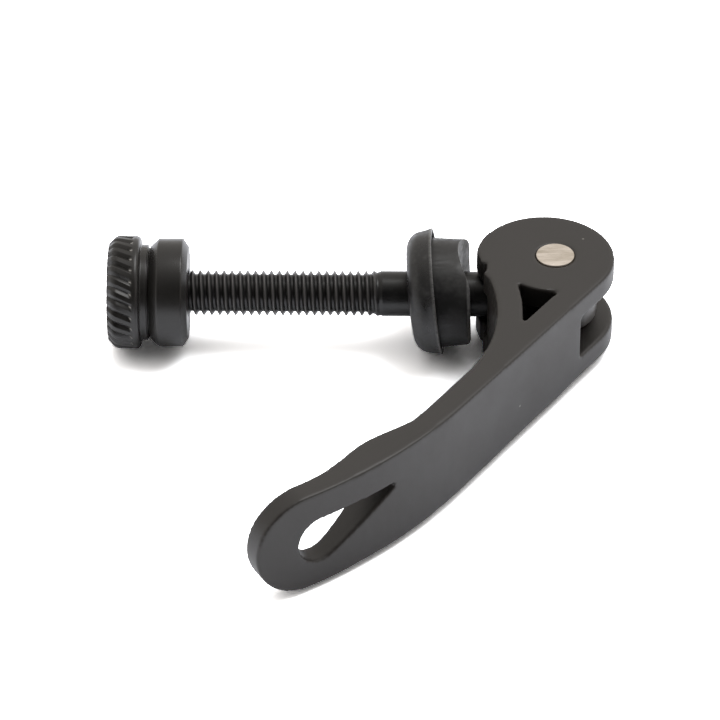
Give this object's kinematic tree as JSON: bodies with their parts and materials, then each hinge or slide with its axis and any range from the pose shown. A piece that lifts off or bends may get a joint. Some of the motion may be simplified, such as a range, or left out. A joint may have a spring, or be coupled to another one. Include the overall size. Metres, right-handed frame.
{
  "type": "quick-release seatpost clamp bolt",
  "caption": "Quick-release clamp bolt: forked cam lever on a pivot pin, eye bolt, saddle and flange washers, collar and knurled thumb nut.",
  "frame": {"origin": "on the bolt axis, at the clamp face of the flange washer", "axes": "+X along the bolt from the thumb nut to the lever; +Z along the pivot pin, up; +Y away from the side that the arm points to"},
  "size_m": [0.0638, 0.0616, 0.016],
  "materials": {
    "lever_alloy": "black anodised over a fine blast, satin",
    "pin_steel": "plain steel, faced and lightly scratched",
    "bolt_steel": "black oxide, oiled",
    "washer_mould": "black moulded, slightly rough",
    "washer_cast": "black moulded, mottled and worn at the rim",
    "nut_alloy": "black anodised, satin"
  },
  "bodies": {
    "bolt": {"eye_bolt": "bolt_steel"},
    "lever": {"lever": "lever_alloy", "pivot_pin": "pin_steel"},
    "flange_washer": {"flange_washer": "washer_cast"},
    "saddle_washer": {"saddle_washer": "washer_mould"},
    "nut_collar": {"nut_collar": "nut_alloy"},
    "thumb_nut": {"thumb_nut": "nut_alloy"}
  },
  "joints": [
    {"name": "lever_pivot", "type": "hinge", "parent": "bolt", "child": "lever", "pos_m": [0.01814, 0, 0], "axis": [0, 0, 1], "range_deg": [-10, 180]},
    {"name": "flange_slide", "type": "slide", "parent": "bolt", "child": "flange_washer", "axis": [1, 0, 0], "range_m": [-0.01, 0]},
    {"name": "saddle_slide", "type": "slide", "parent": "flange_washer", "child": "saddle_washer", "axis": [1, 0, 0], "range_m": [0, 0.001]},
    {"name": "nut_travel", "type": "slide", "parent": "bolt", "child": "nut_collar", "axis": [1, 0, 0], "range_m": [-0.002, 0.016]},
    {"name": "nut_spin", "type": "hinge", "parent": "nut_collar", "child": "thumb_nut", "pos_m": [-0.0355, 0, 0], "axis": [1, 0, 0], "range_deg": [-730, 5770]}
  ],
  "couplings": [
    {"joint": "nut_spin", "follows": "nut_travel", "rad_per_m": 6283.2}
  ]
}
